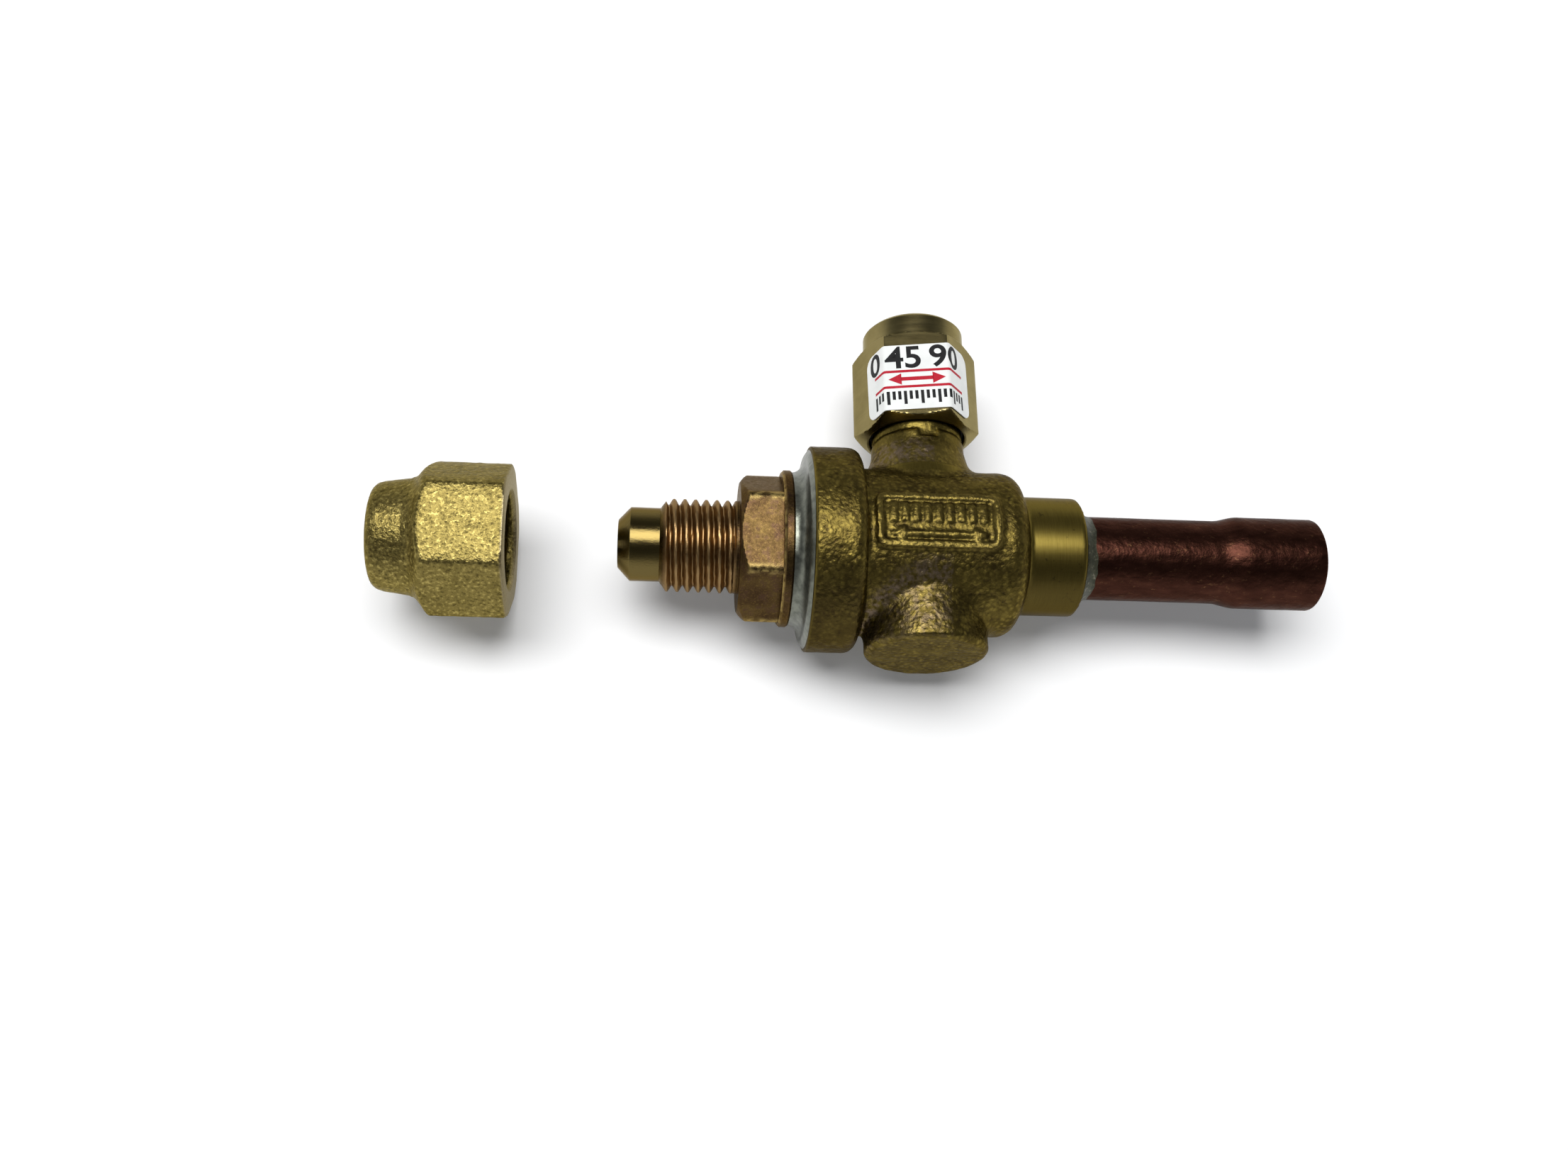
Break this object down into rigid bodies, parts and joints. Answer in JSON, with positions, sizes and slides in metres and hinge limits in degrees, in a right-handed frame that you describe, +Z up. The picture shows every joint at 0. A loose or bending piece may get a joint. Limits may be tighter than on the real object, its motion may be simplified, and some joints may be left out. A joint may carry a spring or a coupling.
{
  "type": "refrigerant service valve",
  "caption": "Small forged brass quarter-turn ball valve with a capped stem, a flare thread and loose flare nut on one side, and a swaged copper braze stub on the other.",
  "frame": {"origin": "centre of the copper stub's mouth", "axes": "+X along the flow axis, from the valve out of the stub; +Y along the stem, from the valve to the cap; +Z up, square to the cast plate"},
  "size_m": [0.1133, 0.0433, 0.0248],
  "materials": {
    "cast_brass": "rough forged, tarnished",
    "adaptor_brass": "turned, heat-stained",
    "soft_metal": "satin grey",
    "black_rubber": "matt",
    "plated_ball": "polished",
    "seat_plastic": "smooth",
    "stem_steel": "turned",
    "spring_steel": "dark spring steel",
    "turned_brass": "smooth turned and milled",
    "white_label": "satin white print",
    "braze_alloy": "dull, flux-stained",
    "stub_copper": "dark oxidised copper",
    "nut_brass": "forged, bead-blasted"
  },
  "bodies": {
    "valve": {"body": "cast_brass", "flare_adaptor": "adaptor_brass", "seal_bead": "soft_metal", "adaptor_ring": "black_rubber", "seat_flare_side": "seat_plastic", "seat_tube_side": "seat_plastic", "seat_ring_flare_side": "black_rubber", "seat_ring_tube_side": "black_rubber", "braze_ring": "braze_alloy", "copper_stub": "stub_copper"},
    "stem": {"stem": "stem_steel", "ball": "plated_ball", "thrust_washer": "seat_plastic", "stem_ring_lower": "black_rubber", "stem_ring_upper": "black_rubber", "stop_plate": "stem_steel", "circlip": "spring_steel"},
    "cap": {"cap": "turned_brass", "cap_gasket": "black_rubber", "cap_label": "white_label"},
    "nut": {"flare_nut": "nut_brass"}
  },
  "joints": [
    {"name": "stem_turn", "type": "hinge", "parent": "valve", "child": "stem", "pos_m": [-0.04845, 0, 0], "axis": [0, 1, 0], "range_deg": [0, 90]},
    {"name": "cap_travel", "type": "slide", "parent": "valve", "child": "cap", "axis": [0, 1, 0], "range_m": [0, 0.012]},
    {"name": "nut_travel", "type": "slide", "parent": "valve", "child": "nut", "axis": [1, 0, 0], "range_m": [0, 0.0236]}
  ]
}
